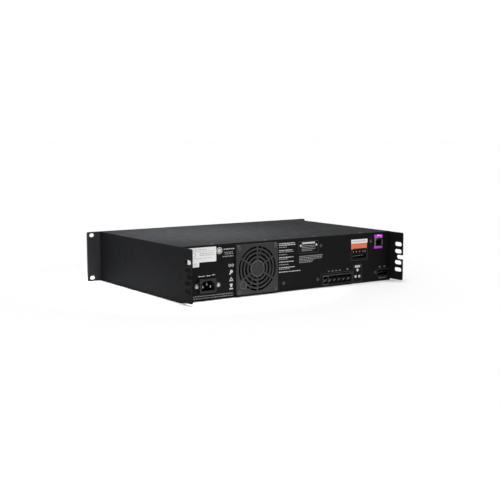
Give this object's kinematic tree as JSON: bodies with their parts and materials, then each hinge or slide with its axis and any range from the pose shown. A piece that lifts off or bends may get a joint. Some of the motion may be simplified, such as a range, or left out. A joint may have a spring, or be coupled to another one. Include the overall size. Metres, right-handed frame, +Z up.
{
  "type": "power amplifier",
  "caption": "Two-unit rack power amplifier with slotted front and rear ears, rear cooling fan, mains inlet, pluggable terminal headers, network jack and a front panel with keys.",
  "frame": {"origin": "under the middle of the overall depth, on the surface that the case stands on, midway between the side walls", "axes": "+Z up, +Y from the front panel to the rear panel, +X to the right seen from the front"},
  "size_m": [0.4826, 0.334, 0.0881],
  "materials": {
    "front_panel": "fine textured black powder coat",
    "bezel_plastic": "moulded black, fine spark texture",
    "case_coat": "fine textured black powder coat, satin",
    "rear_coat": "textured black powder coat with printed markings",
    "guard_plastic": "moulded dark grey plastic",
    "fan_plastic": "moulded black plastic",
    "foam": "open-cell foam",
    "lens": "smoked glossy window",
    "display": "liquid crystal module",
    "light_pipe": "clear light pipes",
    "key_plastic": "moulded grey keys",
    "power_key_plastic": "moulded grey button",
    "dark_screw": "black oxide",
    "zinc_screw": "zinc plated",
    "inlet_plastic": "moulded black thermoplastic",
    "contact_brass": "nickel plated brass",
    "header_plastic": "moulded black polyamide",
    "tinned_pin": "tin plated",
    "jack_metal": "nickel plated shell",
    "label_white": "printed white film",
    "label_colour": "printed colour film",
    "board_green": "solder-masked glass-epoxy laminate",
    "aluminium": "extruded",
    "black_component": "moulded epoxy",
    "capacitor_sleeve": "shrink sleeve",
    "ferrite": "sintered ferrite",
    "copper_wire": "enamelled copper",
    "film_red": "moulded film capacitor",
    "bearing_bronze": "sintered bronze",
    "wire_insulation": "pvc insulation",
    "shaft_steel": "ground steel"
  },
  "bodies": {
    "chassis": {"front_panel": "front_panel", "front_bezel": "bezel_plastic", "intake_grille": "bezel_plastic", "dust_filter": "foam", "display_lens": "lens", "display_module": "display", "indicator_lights": "light_pipe", "front_board": "board_green", "key_switches": "black_component", "front_panel_screws": "zinc_screw", "bezel_screws": "zinc_screw", "bottom_pan": "case_coat", "right_side_panel": "case_coat", "left_side_panel": "case_coat", "rear_panel": "rear_coat", "top_cover": "case_coat", "top_cover_screws": "dark_screw", "rear_panel_screws": "dark_screw", "clinch_nuts": "zinc_screw", "fan_guard": "guard_plastic", "fan_frame": "fan_plastic", "fan_stator": "copper_wire", "fan_bearing": "bearing_bronze", "fan_screws": "dark_screw", "mains_inlet": "inlet_plastic", "mains_inlet_pins": "contact_brass", "mains_inlet_screws": "zinc_screw", "network_jack": "jack_metal", "network_jack_contacts": "contact_brass", "input_header": "header_plastic", "input_header_pins": "tinned_pin", "output_header": "header_plastic", "output_header_pins": "tinned_pin", "control_port": "header_plastic", "control_port_pins": "tinned_pin", "rating_label": "label_white", "port_labels": "label_colour", "power_supply_board": "board_green", "mains_filter": "ferrite", "bulk_capacitors": "capacitor_sleeve", "transformer_core": "ferrite", "transformer_windings": "copper_wire", "heatsinks": "aluminium", "power_transistors": "black_component", "amplifier_board": "board_green", "output_inductors": "copper_wire", "film_capacitors": "film_red", "signal_board": "board_green", "processor_chips": "black_component", "port_board": "board_green", "standoffs": "zinc_screw", "board_screws": "zinc_screw", "wiring": "wire_insulation"},
    "fan_rotor": {"fan_impeller": "fan_plastic", "fan_shaft": "shaft_steel"},
    "previous_button": {"previous_key": "key_plastic"},
    "next_button": {"next_key": "key_plastic"},
    "menu_button": {"menu_key": "key_plastic"},
    "exit_button": {"exit_key": "key_plastic"},
    "power_switch": {"power_button": "power_key_plastic"}
  },
  "joints": [
    {"name": "fan_spin", "type": "hinge", "parent": "chassis", "child": "fan_rotor", "pos_m": [0.075, 0.115, 0.044], "axis": [0, 1, 0], "continuous": true},
    {"name": "previous_button_press", "type": "slide", "parent": "chassis", "child": "previous_button", "axis": [0, 1, 0], "range_m": [0, 0.0008], "stiffness_N_per_m": 400, "springref_m": -0.0008},
    {"name": "next_button_press", "type": "slide", "parent": "chassis", "child": "next_button", "axis": [0, 1, 0], "range_m": [0, 0.0008], "stiffness_N_per_m": 400, "springref_m": -0.0008},
    {"name": "menu_button_press", "type": "slide", "parent": "chassis", "child": "menu_button", "axis": [0, 1, 0], "range_m": [0, 0.0008], "stiffness_N_per_m": 400, "springref_m": -0.0008},
    {"name": "exit_button_press", "type": "slide", "parent": "chassis", "child": "exit_button", "axis": [0, 1, 0], "range_m": [0, 0.0008], "stiffness_N_per_m": 400, "springref_m": -0.0008},
    {"name": "power_switch_press", "type": "slide", "parent": "chassis", "child": "power_switch", "axis": [0, 1, 0], "range_m": [0, 0.002], "stiffness_N_per_m": 500, "springref_m": -0.001}
  ]
}
